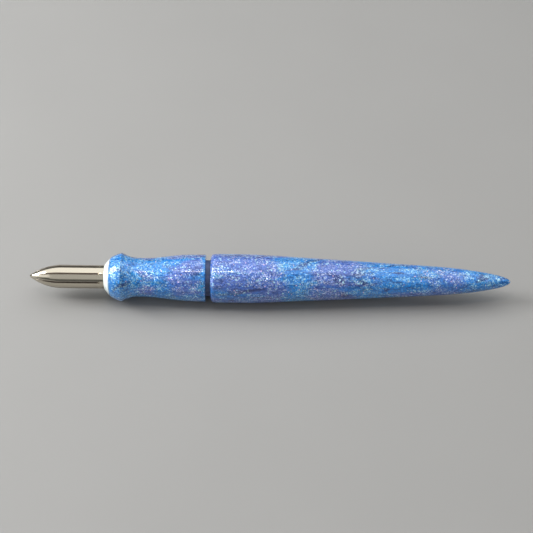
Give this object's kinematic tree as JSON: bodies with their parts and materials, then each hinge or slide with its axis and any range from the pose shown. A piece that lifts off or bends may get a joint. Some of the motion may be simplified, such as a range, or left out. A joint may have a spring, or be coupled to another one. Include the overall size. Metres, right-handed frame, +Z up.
{
  "type": "dip pen",
  "caption": "Dip pen: grooved bullet-shaped steel nib in a flared resin grip that unscrews from a long handle tapering to a rounded point.",
  "frame": {"origin": "on the surface that the pen lies on, below the middle of its length and its axis", "axes": "+X along the pen from the nib to the handle's tip, +Z up"},
  "size_m": [0.1336, 0.0136, 0.0136],
  "materials": {
    "nib_steel": "polished stainless steel, turned and grooved",
    "sleeve_resin": "polished white resin with a faint mint tint",
    "ring_rubber": "smooth black rubber",
    "section_resin": "polished pearlescent resin, azure swirled with lavender and fine metallic flake",
    "joint_brass": "turned brass",
    "handle_resin": "polished pearlescent resin, lavender blue swirled with azure and fine metallic flake"
  },
  "bodies": {
    "handle": {"handle": "handle_resin", "threaded_bush": "joint_brass"},
    "joint_ring": {"joint_ring": "ring_rubber"},
    "section": {"section": "section_resin", "joint_stud": "joint_brass", "nib_sleeve": "sleeve_resin", "front_grip_ring": "ring_rubber", "rear_grip_ring": "ring_rubber"},
    "nib": {"nib": "nib_steel"}
  },
  "joints": [
    {"name": "section_travel", "type": "slide", "parent": "handle", "child": "joint_ring", "axis": [-1, 0, 0], "range_m": [0, 0.0085]},
    {"name": "section_unscrew", "type": "hinge", "parent": "joint_ring", "child": "section", "pos_m": [-0.0165, 0, 0.0068], "axis": [-1, 0, 0], "range_deg": [0, 2880]},
    {"name": "nib_pull", "type": "slide", "parent": "section", "child": "nib", "axis": [-1, 0, 0], "range_m": [0, 0.017]}
  ],
  "couplings": [
    {"joint": "section_travel", "follows": "section_unscrew", "m_per_rad": 0.00015915}
  ]
}
